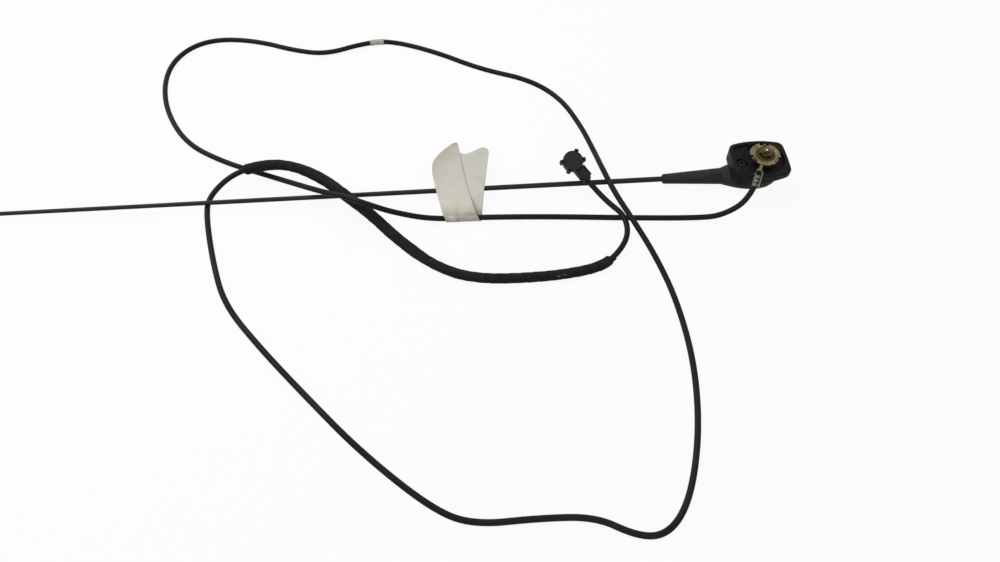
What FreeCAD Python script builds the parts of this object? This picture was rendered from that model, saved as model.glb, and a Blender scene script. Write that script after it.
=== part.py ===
"""Car radio antenna lying upside down: roof foot, raked-back mast and its aerial lead.

Millimetres. The floor is z = 0, the foot's fixing side faces up, the mast runs along -X and the
spigot that goes through the roof stands on the Z axis.
"""
import FreeCAD, Part
import math
import os

from FreeCAD import Rotation, Vector

# Fits: radial room in a slip fit, radial room round the cable, room between soft or tilted faces
slip = 0.1
cable_room = 0.15
seat_gap = 0.05

# Mast: plastic-coated whip in a tapered boot, screwed into the housing's neck
mast_reach = 750.0
rod_root_d = 5.0
rod_tip_d = 3.5
boot_length = 54.0
boot_root_d = 15.0
boot_end_d = 8.8
boot_end_round = 1.2
ferrule_d = 7.6
ferrule_length = 24.0
rod_socket_depth = 14.0
mast_thread_d = 5.0
mast_thread_length = 12.0
mast_axis_height = 8.6
mast_droop_deg = 0.13

# Housing: a moulded dome with a flared neck; its crown has a small worn land to lie on
neck_mouth = 35.0
dome_middle = -6.0
housing_nose = 17.0
housing_half_width = 16.2
crown_land_depth = 0.6
housing_wall = 2.0
neck_solid_length = 17.0
skirt_inset = 0.5
insert_d = 8.0
insert_length = 19.0
insert_flat_height = 3.0

# Pad: wedge-shaped foot between the housing and the roof
pad_top = 29.5
pad_to_mast = 28.7
pad_to_rear = 22.0
pad_half_width = 22.0
pad_side_bulge = 4.0
pad_end_bulge = 0.8
pad_corner_r = 7.0
pad_depth_mast = 13.5
pad_depth_rear = 5.0
pad_edge_round = 1.0
lip_width = 3.3
well_depth = 2.5
screw_field_depth = 1.5
screw_field_reach = 10.0
pad_floor = 5.0

# Spigot stack, from inside the housing up to the stud's tip
spigot_d = 14.0
spigot_flange_d = 18.0
spigot_flange = 3.0
ring_lift = 2.1
bush_d = 8.0
bush_flange_d = 12.0
bush_flange = 1.5
stud_d = 6.0
stud_collar_d = 11.0
stud_collar = 2.0
stud_stub = 2.5
stud_end = 2.0
stud_chamfer = 0.8
strap_thickness = 0.8
strap_width = 6.0
ring_d = 27.0
ring_thickness = 2.0
ring_web = 0.8
ring_recess_d = 17.6
notch_count = 3
notch_first_deg = 80.0
notch_span_deg = 38.0
notch_depth = 2.4
claw_span_deg = 20.0
claw_inset = 0.9
lock_tab_width = 2.2
lock_tab_height = 1.6
washer_thickness = 1.0
nut_across_flats = 10.0
nut_height = 4.0

# Cable terminal: one pressed piece with an eyelet, a tail, a channel and three crimped wraps
eyelet_d = 20.0
terminal_sheet = 0.8
tail_width = 3.3
tail_neck_end = 16.5
channel_length = 12.0
crimp_starts = (1.0, 4.6, 8.2)
crimp_length = 2.6
crimp_seam = 0.5
core_d = 2.8
core_length = 8.0
core_gap = 3.2

# Screw that holds the pad to the housing
screw_x = -20.3
screw_y = -3.0
screw_d = 3.5
screw_length = 11.0
screw_head_d = 8.0
screw_head = 2.4
screw_recess_d = 10.0
screw_recess_depth = 3.0
cross_slot_width = 1.1
cross_slot_length = 4.6
cross_slot_depth = 1.2

# Aerial lead
cable_d = 5.0
wrap_d = 9.0
wrap_from = 2198.0
wrap_length = 375.5
marker_d = 6.0
marker_from = 931.0
marker_length = 16.8

# Right-angle aerial plug at the lead's end
plug_reach = 11.0
plug_roll_deg = 14.1
plug_body_d = 17.0
plug_body_height = 7.0
plug_wall = 1.5
plug_neck_width = 9.0
plug_neck_length = 17.5
plug_cap_d = 18.6
plug_cap_thickness = 1.8
lug_angles_deg = (61.0, 122.0)
lug_width = 3.8
lug_reach = 2.4
lug_drop = 4.0
lug_slot = 1.3
sleeve_d = 9.1
sleeve_wall = 0.8
sleeve_length = 11.0
sleeve_slit_width = 0.8
sleeve_slit_length = 8.0
sleeve_flange = 0.8
pin_d = 3.0
pin_shank_d = 2.4
pin_reach = 12.0
pin_collar_d = 5.0
pin_collar = 1.0
insulator_recess = 1.5
clamp_collar_width = 7.4
clamp_collar_length = 4.2
clamp_plate = 1.2
clamp_plate_length = 9.0

# Paper tag folded round the cable and laid over the mast
tag_from = 252.0
tag_sheet = 0.45
tag_loop_width = 29.0
tag_rise = 4.9
tag_reach = 88.0
tag_left_lean = 10.0
tag_right_lean = 14.0

# Tag's torn end: distance from its left edge, and how far it falls short of the reach
tag_end = [
    (0, 31), (3, 21), (18.5, 2.5), (25.5, 1.5), (31.5, 16), (46, 9), (49.5, 8.5), (54, 16.5),
]

# Where the aerial lead runs, from the crimp at the foot to the plug
route = [
    (-11.6, -23.2, 34.2), (-17.5, -36.5, 18.5), (-43, -46.2, 7.5), (-67.9, -43.2, 2.7),
    (-126.6, -38.9, 2.6), (-195.2, -32.8, 2.6), (-255.4, -29.9, 3.3), (-300.2, -29.7, 3.6),
    (-333, -30, 16), (-352, -29.8, 27), (-373.2, -19.6, 28), (-396.8, -6.4, 22),
    (-422, 14.6, 10), (-458.2, 37.2, 2.7), (-496.6, 55.3, 2.6), (-533.3, 81.3, 2.6),
    (-558.3, 124.6, 2.6), (-568.6, 167.1, 2.6), (-565.1, 202.1, 2.6), (-546.6, 227, 2.6),
    (-518, 235.5, 2.6), (-478.2, 228.4, 2.6), (-439.1, 210.9, 2.6), (-406.4, 203.1, 2.8),
    (-370.4, 216.3, 3.2), (-341.7, 220.1, 3.2), (-294.7, 200.2, 2.8), (-246, 168.3, 2.6),
    (-198.1, 149.4, 2.6), (-168.9, 119.4, 2.6), (-153.5, 77.7, 3.2), (-147.3, 40.6, 9),
    (-144.4, 7.5, 19), (-136.9, -24.3, 19), (-124.2, -51.2, 13), (-109.8, -83.3, 4.6),
    (-99.8, -127.8, 2.6), (-96.9, -184.6, 2.6), (-103.3, -237.7, 2.6), (-115.7, -282.1, 2.6),
    (-130, -311, 2.6), (-147, -324.6, 2.6), (-166, -322.4, 2.6), (-191.4, -307.6, 2.6),
    (-230.8, -305.9, 2.6), (-278.2, -307.7, 2.6), (-307.8, -293, 2.6), (-357.5, -247.7, 2.6),
    (-398.7, -201.5, 2.6), (-441.3, -151.8, 2.6), (-474.2, -108.3, 2.6), (-489, -64.7, 2.6),
    (-501.4, -14, 2.6), (-503.2, 11.3, 2.7), (-479.4, 32.1, 12), (-444.7, 35.8, 16.5),
    (-420.9, 28.4, 18), (-395.1, 10.8, 18.5), (-374.3, -10.6, 18), (-354.5, -25.9, 11.5),
    (-332.2, -50.2, 5.5), (-300.5, -81.9, 4.8), (-266.5, -98.4, 4.7), (-210.6, -100.4, 4.7),
    (-160.9, -94.9, 4.7), (-141.7, -80.4, 5.3), (-129.5, -62, 7.3), (-130.5, -42, 10.2),
    (-142.5, -27.3, 10.6), (-153.7, -10.1, 12.3), (-165.11, 3.67, 20.02),
]
bend_share = 0.45

# Levels and radii that follow from the sizes above
X, Y, Z = Vector(1, 0, 0), Vector(0, 1, 0), Vector(0, 0, 1)
crown_height = mast_axis_height + crown_land_depth
neck_r = boot_root_d / 2
spigot_top = pad_top + ring_lift
pocket_top = pad_top - well_depth - pad_floor
eyelet_top = spigot_top + terminal_sheet
web_top = eyelet_top + ring_web
ring_top = eyelet_top + ring_thickness
washer_top = web_top + washer_thickness
nut_top = washer_top + nut_height
stud_top = nut_top + stud_end
spigot_bottom = pocket_top - spigot_flange
collar_top = spigot_bottom - bush_flange
strap_top = collar_top - stud_collar
well_r = pad_half_width - lip_width
big = 200.0


def disc(d, z_low, z_high, x=0.0, y=0.0):
    """Upright cylinder of diameter d between two heights."""
    return Part.makeCylinder(d / 2, z_high - z_low, Vector(x, y, z_low))


def tube(d_out, d_in, z_low, z_high, x=0.0, y=0.0):
    """Upright tube between two heights."""
    return disc(d_out, z_low, z_high, x, y).cut(disc(d_in, z_low, z_high, x, y))


def block(x_low, x_high, y_low, y_high, z_low, z_high):
    """Box between two corners."""
    return Part.makeBox(x_high - x_low, y_high - y_low, z_high - z_low, Vector(x_low, y_low, z_low))


def plate(points, z_low, z_high):
    """Plan polygon made into a plate between two heights."""
    corners = [Vector(x, y, z_low) for x, y in points]
    return Part.Face(Part.makePolygon(corners + corners[:1])).extrude(Z * (z_high - z_low))


def fused(shapes):
    """One clean solid out of shapes that overlap or touch."""
    return shapes[0].multiFuse(shapes[1:]).removeSplitter()


def turned(profile):
    """Solid turned about the X axis; the profile is (x, radius) corners, or an arc as three corners."""
    edges = []
    for start, *middle, end in profile:
        ends = [Vector(x, r, 0) for x, r in (start, *middle, end)]
        if middle:
            edges.append(Part.Arc(*ends).toShape())
        else:
            edges.append(Part.LineSegment(*ends).toShape())
    return Part.Face(Part.Wire(edges)).revolve(Vector(), X, 360)


def outline(corners):
    """Profile of straight lines through the given (x, radius) corners, closed."""
    return [(a, b) for a, b in zip(corners, corners[1:] + corners[:1])]


# Mast pieces are made with the mast along +X from the neck's mouth, then laid in place


def on_mast(shape):
    """Turns a mast piece to run along -X from the neck's mouth, and lets it droop on its lead."""
    placed = shape.copy()
    placed.rotate(Vector(), Z, 180)
    placed.translate(Vector(-neck_mouth, 0, mast_axis_height))
    placed.rotate(Vector(0, 0, mast_axis_height), Y, -mast_droop_deg)
    return placed


def mast_rod():
    root = ferrule_length - rod_socket_depth
    tip_r = rod_tip_d / 2
    shoulder = mast_reach - tip_r
    bow = tip_r * math.sqrt(0.5)
    profile = [
        ((root, 0), (root, rod_root_d / 2)),
        ((root, rod_root_d / 2), (shoulder, tip_r)),
        ((shoulder, tip_r), (shoulder + bow, bow), (mast_reach, 0)),
        ((mast_reach, 0), (root, 0)),
    ]
    return on_mast(turned(profile))


def mast_boot():
    root_r, end_r = boot_root_d / 2, boot_end_d / 2
    taper = outline([(seat_gap, 0), (seat_gap, root_r), (boot_length, end_r), (boot_length, 0)])
    boot = turned(taper)
    rim = [e for e in boot.Edges if abs(e.CenterOfMass.x - boot_length) < 0.01 and e.Length > end_r]
    boot = boot.makeFillet(boot_end_round, rim)
    bore = outline([
        (0, 0), (0, ferrule_d / 2 + slip), (ferrule_length, ferrule_d / 2 + slip),
        (ferrule_length, rod_root_d / 2 + slip), (boot_length, rod_root_d / 2 + slip), (boot_length, 0)])
    return on_mast(boot.cut(turned(bore)))


def mast_ferrule():
    socket = ferrule_length - rod_socket_depth
    thread_r, body_r, rod_r = mast_thread_d / 2, ferrule_d / 2, rod_root_d / 2
    return on_mast(turned(outline([
        (-mast_thread_length, 0), (-mast_thread_length, thread_r), (0, thread_r), (0, body_r),
        (ferrule_length, body_r), (ferrule_length, rod_r + slip), (socket, rod_r + slip), (socket, 0)])))


def neck_insert():
    thread_r = mast_thread_d / 2 + slip
    bore_end = -mast_thread_length - 1
    insert = turned(outline([
        (0, thread_r), (0, insert_d / 2), (-insert_length, insert_d / 2), (-insert_length, 0),
        (bore_end, 0), (bore_end, thread_r)]))
    flat = block(-insert_length, bore_end, -insert_d, insert_d, insert_flat_height, insert_d)
    return on_mast(insert.cut(flat))


# Housing


def section(x, half_width, half_height):
    """Closed oval of the housing, across the mast's axis."""
    oval = Part.Ellipse(Vector(), half_width, half_height).toShape()
    oval.Placement = FreeCAD.Placement(Vector(x, 0, mast_axis_height), Rotation(Y, Z, X, "ZXY"))
    return Part.Wire(oval)


def flare(x):
    """Share of the way from the neck's size to the dome's, at x."""
    left = (dome_middle - x) / (dome_middle + neck_mouth)
    return 1 - left * left


def dome(start_x, inset):
    """Neck and dome as one smooth body, from start_x to the nose, all round inset by a wall."""
    ovals = []
    for n in range(6):
        x = start_x + (dome_middle - start_x) * n / 5
        width = neck_r + (housing_half_width - neck_r) * flare(x)
        height = neck_r + (crown_height - neck_r) * flare(x)
        ovals.append(section(x, width - inset, height - inset))
    for angle_deg in (24, 42, 58, 70, 79):
        angle = math.radians(angle_deg)
        x = dome_middle + (housing_nose - inset - dome_middle) * math.sin(angle)
        scale = math.cos(angle)
        ovals.append(section(x, (housing_half_width - inset) * scale, (crown_height - inset) * scale))
    return Part.makeLoft(ovals, True)


def skirt(start_x, inset, z_low, z_high):
    """Upright wall that carries the dome's outline up to the pad."""
    width = housing_half_width - skirt_inset - inset
    nose = housing_nose - skirt_inset - inset
    start_width = neck_r + (width - neck_r) * flare(start_x)
    sweep = math.radians(45)
    middle = dome_middle + (nose - dome_middle) * math.sin(sweep)
    shoulder = width * math.cos(sweep)
    half_x = (start_x + dome_middle) / 2
    half_width = neck_r + (width - neck_r) * flare(half_x)
    corners = [(start_x, start_width), (half_x, half_width), (dome_middle, width),
               (middle, shoulder), (nose, 0)]
    upper = [Vector(x, y, z_low) for x, y in corners]
    lower = [Vector(v.x, -v.y, v.z) for v in reversed(upper)]
    round_end = Part.BSplineCurve()
    round_end.interpolate(upper + lower[1:])
    back = Part.LineSegment(lower[-1], upper[0])
    face = Part.Face(Part.Wire([round_end.toShape(), back.toShape()]))
    return face.extrude(Z * (z_high - z_low))


def pad_underside(x):
    """Height of the pad's sloping underside at x."""
    slope = (pad_depth_mast - pad_depth_rear) / (pad_to_mast + pad_to_rear)
    return pad_top - pad_depth_mast + slope * (x + pad_to_mast)


def under_pad():
    """Everything below the pad's sloping underside."""
    ends = [(-big, pad_underside(-big)), (big, pad_underside(big)), (big, -big), (-big, -big)]
    corners = [Vector(x, -big, z) for x, z in ends]
    return Part.Face(Part.makePolygon(corners + corners[:1])).extrude(Y * (2 * big))


def housing_cavity(z_high):
    """Hollow inside the housing, with its walls carried up to z_high."""
    start = -neck_mouth + neck_solid_length
    return fused([dome(start, housing_wall), skirt(start, housing_wall, mast_axis_height, z_high)])


def housing():
    start = -neck_mouth + neck_solid_length
    upper = skirt(start - housing_wall, 0, mast_axis_height, pad_top).common(under_pad())
    shell = fused([dome(-neck_mouth, 0), upper])
    shell = shell.cut(housing_cavity(pad_top))
    pilot = disc(screw_d + 2 * slip, screw_bottom() - 1, pad_top, screw_x, screw_y)
    bore_r, bore_end = insert_d / 2 + slip, -insert_length - 1
    insert_bore = on_mast(turned(outline([(1, 0), (1, bore_r), (bore_end, bore_r), (bore_end, 0)])))
    floor = block(-big, big, -big, big, -big, 0)
    return shell.cut(pilot).cut(insert_bore).cut(floor)


# Pad


def pad_prism(inset, z_low, z_high):
    """Barrel-shaped foot outline, inset all round, as an upright prism."""
    left, right = -pad_to_mast + inset, pad_to_rear - inset
    side = pad_half_width - inset
    corner_y = side - pad_side_bulge
    middle_x = (left + right) / 2
    left_stop, right_stop = left + pad_end_bulge, right - pad_end_bulge
    stops = [(left_stop, -corner_y), (right_stop, -corner_y), (right_stop, corner_y), (left_stop, corner_y)]
    crowns = [(middle_x, -side), (right, 0), (middle_x, side), (left, 0)]
    edges = []
    for n, crown in enumerate(crowns):
        a, b = stops[n], stops[(n + 1) % 4]
        arc = Part.Arc(Vector(*a, z_low), Vector(*crown, z_low), Vector(*b, z_low))
        edges.append(arc.toShape())
    prism = Part.Face(Part.Wire(edges)).extrude(Z * (z_high - z_low))
    corners = [e for e in prism.Edges if abs(e.Vertexes[0].Z - e.Vertexes[-1].Z) > 1]
    return prism.makeFillet(pad_corner_r - inset, corners)


def base_pad():
    below = under_pad()
    pad = pad_prism(0, pad_top - pad_depth_mast - 1, pad_top).cut(below)
    rim = [e for e in pad.Edges if min(v.Z for v in e.Vertexes) > pad_top - 0.01]
    pad = pad.makeFillet(pad_edge_round, rim)
    well = disc(2 * well_r, pad_top - well_depth, pad_top)
    field = pad_prism(lip_width, pad_top - screw_field_depth, pad_top)
    field = field.common(block(-big, -screw_field_reach, -big, big, 0, big))
    pad = pad.cut(well).cut(field)
    pad = pad.cut(disc(screw_recess_d, screw_seat(), pad_top, screw_x, screw_y))
    pad = pad.cut(disc(screw_d + 2 * slip, 0, pad_top, screw_x, screw_y))
    pad = pad.cut(disc(spigot_d + 2 * slip, 0, pad_top))
    pad = pad.cut(housing_cavity(pocket_top))
    return pad.cut(dome(-neck_mouth, 0))


def screw_seat():
    return pad_top - screw_field_depth - screw_recess_depth


def screw_bottom():
    return screw_seat() - screw_length


def housing_screw():
    seat = screw_seat()
    head = disc(screw_head_d, seat, seat + screw_head, screw_x, screw_y)
    rim = [e for e in head.Edges if abs(e.CenterOfMass.z - seat - screw_head) < 0.01 and e.Closed]
    head = head.makeFillet(screw_head / 2.5, rim)
    half, reach = cross_slot_width / 2, cross_slot_length / 2
    low = seat + screw_head - cross_slot_depth
    slots = fused([
        block(screw_x - reach, screw_x + reach, screw_y - half, screw_y + half, low, pad_top),
        block(screw_x - half, screw_x + half, screw_y - reach, screw_y + reach, low, pad_top)])
    shank = disc(screw_d, screw_bottom(), seat, screw_x, screw_y)
    return fused([head, shank]).cut(slots)


# Spigot stack


def spigot():
    flange = disc(spigot_flange_d, spigot_bottom, pocket_top)
    body = fused([flange, disc(spigot_d, spigot_bottom, spigot_top)])
    return body.cut(disc(bush_d + 2 * slip, spigot_bottom, spigot_top))


def insulating_bush():
    body = fused([disc(bush_flange_d, collar_top, spigot_bottom), disc(bush_d, collar_top, web_top)])
    return body.cut(disc(stud_d + 2 * slip, collar_top, web_top))


def centre_stud():
    shank = disc(stud_d, strap_top - strap_thickness - stud_stub, stud_top)
    tip = [e for e in shank.Edges if abs(e.CenterOfMass.z - stud_top) < 0.01 and e.Closed]
    shank = shank.makeChamfer(stud_chamfer, tip)
    return fused([shank, disc(stud_collar_d, strap_top, collar_top)])


def contact_strap():
    """Folded brass strip from the insert's flat up to the stud's collar."""
    low = mast_axis_height + insert_flat_height + seat_gap
    high = strap_top - strap_thickness
    start = -neck_mouth + neck_solid_length + slip
    end = stud_collar_d / 2
    rise_from = -neck_mouth + insert_length + 1
    rise_to = -stud_collar_d / 2 - 1
    lower = [(start, low), (rise_from, low), (rise_to, high), (end, high)]
    upper = [(x, z + strap_thickness) for x, z in reversed(lower)]
    corners = [Vector(x, -strap_width / 2, z) for x, z in lower + upper]
    strip = Part.Face(Part.makePolygon(corners + corners[:1])).extrude(Y * strap_width)
    eye = disc(stud_collar_d, high, strap_top)
    return fused([strip, eye]).cut(disc(stud_d + 2 * slip, 0, pad_top))


def sector(r_in, r_out, middle_deg, span_deg, z_low, z_high):
    """Upright piece of a ring."""
    ring = tube(2 * r_out, 2 * r_in, z_low, z_high)
    reach = 2 * r_out
    half = math.radians(span_deg / 2)
    wedge = plate([(0, 0), (reach * math.cos(half), -reach * math.sin(half)),
                   (reach * math.cos(half), reach * math.sin(half))], z_low, z_high)
    wedge.rotate(Vector(), Z, middle_deg)
    return ring.common(wedge)


def claw_ring():
    ring_r = ring_d / 2
    inner_r = ring_r - notch_depth
    ring = disc(ring_d, eyelet_top, ring_top).cut(disc(ring_recess_d, web_top, ring_top))
    pieces = []
    for n in range(notch_count):
        middle = notch_first_deg - 360.0 / notch_count * n
        ring = ring.cut(sector(inner_r, ring_r + 1, middle, notch_span_deg, eyelet_top, ring_top))
        if n == 0:
            half = lock_tab_width / 2
            tab_top = ring_top + lock_tab_height
            tab = block(inner_r - ring_web * 2, inner_r, -half, half, eyelet_top, tab_top)
            tab.rotate(Vector(), Z, middle)
            pieces.append(tab)
        else:
            reach, claw_top = ring_r - claw_inset, ring_top - claw_inset
            pieces.append(sector(inner_r - 1, reach, middle, claw_span_deg, eyelet_top, claw_top))
    ring = fused([ring] + pieces)
    return ring.cut(disc(bush_d + 2 * slip, eyelet_top, ring_top))


def insulating_washer():
    return tube(ring_recess_d - 2 * slip, stud_d + 2 * slip, web_top, washer_top)


def stud_nut():
    corner_r = nut_across_flats / math.sqrt(3)
    angles = [math.radians(60 * n) for n in range(6)]
    corners = [(corner_r * math.cos(angle), corner_r * math.sin(angle)) for angle in angles]
    hexagon = plate(corners, washer_top, nut_top)
    base = Vector(0, 0, washer_top)
    chamfer = Part.makeCone(corner_r + nut_height, corner_r - 0.4, nut_height + 0.4, base)
    return hexagon.common(chamfer).cut(disc(stud_d + 2 * slip, washer_top, nut_top))


# Cable terminal and the cable's end


def along(shape, start, way):
    """Puts a piece made along +Z from the origin at start, pointing along way, with its +Y kept upward."""
    side = Z.cross(way)
    placed = shape.copy()
    turn = Rotation(side, way.cross(side), way, "ZXY")
    placed.Placement = FreeCAD.Placement(start, turn).multiply(placed.Placement)
    return placed


def cable_end():
    """Point where the cable's jacket starts, and the way it leaves."""
    first, second = Vector(*route[0]), Vector(*route[1])
    return first, (second - first).normalize()


def cable_terminal():
    start, way = cable_end()
    plan = Vector(start.x, start.y, 0)
    reach = plan.Length
    heading = math.degrees(math.atan2(plan.y, plan.x))
    inner = cable_d / 2 + cable_room
    outer = inner + terminal_sheet
    half, wide = tail_width / 2, outer
    flared = (tail_neck_end + reach) / 2
    side = [(0, half), (tail_neck_end, half), (flared, wide), (reach - 1, wide)]
    tail = plate(side + [(x, -y) for x, y in reversed(side)], spigot_top, eyelet_top)
    tail.rotate(Vector(), Z, heading)
    tail = tail.cut(disc(eyelet_d - 2, spigot_top, eyelet_top))
    eyelet = tube(eyelet_d, bush_d + 2 * slip, spigot_top, eyelet_top)
    sheath = Part.makeCylinder(outer, channel_length)
    lower_half = block(-2 * outer, 2 * outer, -2 * outer, 0, 0, channel_length)
    channel = along(sheath.common(lower_half), start, way)
    wrap = Part.makeCylinder(outer, crimp_length)
    wraps = [along(wrap, start + way * offset, way) for offset in crimp_starts]
    seam = along(block(-crimp_seam / 2, crimp_seam / 2, 0, 2 * outer, 0, channel_length), start, way)
    hole = along(Part.makeCylinder(inner, 3 * channel_length), start - way * 2, way)
    return fused([eyelet, tail, channel] + wraps).cut(hole).cut(seam)


def cable_core():
    """Insulated core bared past the jacket, lying on the terminal's tail."""
    start, way = cable_end()
    plan = Vector(start.x, start.y, 0)
    out = Vector(plan.x, plan.y, 0).normalize()
    height = eyelet_top + core_d / 2 + seat_gap
    tip = out * (plan.Length - core_length - core_gap)
    tip.z = height
    return along(Part.makeCylinder(core_d / 2, core_length), tip, out)


# Cable route: straight runs joined by arcs as large as the runs allow


def route_edges():
    """Edges of the cable's centre line."""
    points = [Vector(*p) for p in route]
    edges = []
    last = points[0]
    for before, corner, after in zip(points, points[1:], points[2:]):
        back, on = before - corner, after - corner
        tangent = bend_share * min(back.Length, on.Length)
        back.normalize()
        on.normalize()
        half_turn = (math.pi - back.getAngle(on)) / 2
        radius = tangent / math.tan(half_turn)
        inward = (back + on).normalize()
        middle = corner + inward * (radius / math.cos(half_turn) - radius)
        enter, leave = corner + back * tangent, corner + on * tangent
        edges.append(Part.LineSegment(last, enter).toShape())
        edges.append(Part.Arc(enter, middle, leave).toShape())
        last = leave
    edges.append(Part.LineSegment(last, points[-1]).toShape())
    return edges


def stretch(edges, start, length):
    """Wire along part of the route, from a place measured along it."""
    pieces = []
    done = 0.0
    for edge in edges:
        low = max(start - done, 0.0)
        high = min(start + length - done, edge.Length)
        if high - low > 0.001:
            ends = edge.getParameterByLength(low), edge.getParameterByLength(high)
            pieces.append(edge.Curve.toShape(*ends))
        done += edge.Length
    return Part.Wire(pieces)


def swept(path, d):
    """Round bar of diameter d along a wire."""
    first = path.OrderedEdges[0]
    start = first.valueAt(first.FirstParameter)
    ring = Part.Wire(Part.makeCircle(d / 2, start, first.tangentAt(first.FirstParameter)))
    return path.makePipeShell([ring], True, False)


def sleeve_on_cable(edges, d, start, length):
    """Band or winding round the cable, clear of its jacket."""
    path = stretch(edges, start, length)
    return swept(path, d).cut(swept(path, cable_d + 2 * cable_room))


# Paper tag


def paper_tag(edges):
    """Strip folded round the cable; both ends lie together over the mast, torn at the end."""
    path = stretch(edges, tag_from, tag_loop_width)
    bore_d = cable_d + 2 * cable_room
    loop = swept(path, bore_d + 2 * tag_sheet)
    box = path.BoundBox
    left, right, front = box.XMin, box.XMax, box.Center.y
    low = box.ZMax + bore_d / 2
    crest = low + tag_rise
    lower = [(front, low), (front + 22, crest), (front + 38, crest), (front + tag_reach, low + 1)]
    upper = [(y, z + 2 * tag_sheet) for y, z in reversed(lower)]
    far_left, far_right = left - tag_left_lean, right + tag_right_lean
    corners = [Vector(far_left, y, z) for y, z in lower + upper]
    flaps = Part.Face(Part.makePolygon(corners + corners[:1])).extrude(X * (far_right - far_left))
    top = front + tag_reach
    torn = [(far_left + x, top - short) for x, short in reversed(tag_end)]
    shape = plate([(left, front - bore_d), (right, front - bore_d)] + torn, -1, pad_top)
    return fused([loop, flaps.common(shape)]).cut(swept(path, bore_d))


# Plug, made with its barrel on the Z axis and its neck along +X, then laid at the cable's end


def on_plug(shape):
    """Puts a plug piece at the end of the cable."""
    end, before = Vector(*route[-1]), Vector(*route[-2])
    way = (before - end).normalize()
    placed = shape.copy()
    turn = Rotation(way, Z.cross(way), Z, "XYZ").multiply(Rotation(X, plug_roll_deg))
    placed.Placement = FreeCAD.Placement(end - way * plug_reach, turn).multiply(placed.Placement)
    return placed


plug_half = plug_body_height / 2
plug_hollow = plug_half - plug_wall


def lying(d, x_low, x_high):
    """Cylinder along the plug's neck."""
    return Part.makeCylinder(d / 2, x_high - x_low, Vector(x_low, 0, 0), X)


def plug_body():
    half = plug_neck_width / 2
    neck = block(0, plug_neck_length, -half, half, -plug_half, plug_half)
    long_edges = [e for e in neck.Edges if abs(e.Vertexes[0].X - e.Vertexes[-1].X) > 1]
    neck = neck.makeFillet(plug_wall / 2, long_edges)
    body = fused([disc(plug_body_d, -plug_half, plug_half), neck])
    body = body.cut(disc(plug_body_d - 2 * plug_wall, -plug_hollow, plug_half))
    body = body.cut(disc(sleeve_d + 2 * slip, -plug_half, plug_half))
    return on_plug(body.cut(lying(cable_d + 2 * cable_room, 0, plug_neck_length)))


def plug_cap():
    top = plug_half + plug_cap_thickness
    cap = disc(plug_cap_d, plug_half, top)
    rim = [e for e in cap.Edges if abs(e.CenterOfMass.z - top) < 0.01 and e.Closed]
    cap = cap.makeFillet(plug_cap_thickness / 3, rim)
    inner = plug_body_d / 2 + slip
    outer = plug_cap_d / 2 + lug_reach
    half = lug_width / 2
    lugs = []
    slots = []
    for angle in lug_angles_deg:
        for side in (angle, -angle):
            lug = block(inner, outer, -half, half, plug_half - lug_drop, top - plug_cap_thickness / 3)
            upright = [e for e in lug.Edges if abs(e.Vertexes[0].Z - e.Vertexes[-1].Z) > 1]
            lug = lug.makeFillet(lug_reach / 3, [e for e in upright if e.CenterOfMass.x > inner + 0.1])
            slot = block(inner + 0.2, inner + 0.2 + lug_slot, -half / 2, half / 2, 0, 2 * top)
            for piece, group in ((lug, lugs), (slot, slots)):
                piece.rotate(Vector(), Z, side)
                group.append(piece)
    cap = fused([cap] + lugs)
    for slot in slots:
        cap = cap.cut(slot)
    return on_plug(cap)


def plug_sleeve():
    low = -plug_half - sleeve_length
    inner_d = sleeve_d - 2 * sleeve_wall
    flange_d = plug_body_d - 2 * plug_wall - 2 * slip
    flange = disc(flange_d, -plug_hollow, -plug_hollow + sleeve_flange)
    body = fused([disc(sleeve_d, low, -plug_hollow), flange])
    body = body.cut(disc(inner_d, low, plug_half))
    half = sleeve_slit_width / 2
    for angle in (0, 90):
        slit = block(-sleeve_d, sleeve_d, -half, half, low, low + sleeve_slit_length)
        slit.rotate(Vector(), Z, angle + 45)
        body = body.cut(slit)
    neck_clear = lying(cable_d + 2 * cable_room, 0, plug_neck_length)
    return on_plug(body.cut(neck_clear))


def plug_insulator():
    low = -plug_half - sleeve_length + insulator_recess
    high = -plug_hollow + sleeve_flange
    return on_plug(tube(sleeve_d - 2 * sleeve_wall - 2 * slip, pin_shank_d + 2 * slip, low, high))


def plug_pin():
    low = -plug_half - sleeve_length - pin_reach
    seat = -plug_hollow + sleeve_flange
    shoulder = low + pin_reach + insulator_recess
    contact = disc(pin_d, low, shoulder)
    tip = [e for e in contact.Edges if abs(e.CenterOfMass.z - low) < 0.01 and e.Closed]
    contact = contact.makeFillet(pin_d / 4, tip)
    shank = disc(pin_shank_d, shoulder, seat + pin_collar)
    return on_plug(fused([contact, shank, disc(pin_collar_d, seat, seat + pin_collar)]))


def plug_clamp():
    """Collar round the cable behind the neck, with a plate along one side of the neck."""
    half = clamp_collar_width / 2
    collar = block(plug_neck_length, plug_neck_length + clamp_collar_length, -half, half, -half, half)
    long_edges = [e for e in collar.Edges if abs(e.Vertexes[0].X - e.Vertexes[-1].X) > 1]
    collar = collar.makeFillet(clamp_plate, long_edges)
    side = plug_neck_width / 2 + seat_gap
    plate_end = plug_neck_length + clamp_collar_length / 2
    strip = block(plug_neck_length - clamp_plate_length, plate_end, side, side + clamp_plate, -half, half)
    bridge = block(plug_neck_length, plate_end, half - clamp_plate, side + clamp_plate, -half, half)
    collar = fused([collar, strip, bridge])
    return on_plug(collar.cut(lying(cable_d + 2 * cable_room, plug_neck_length, big)))


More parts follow.
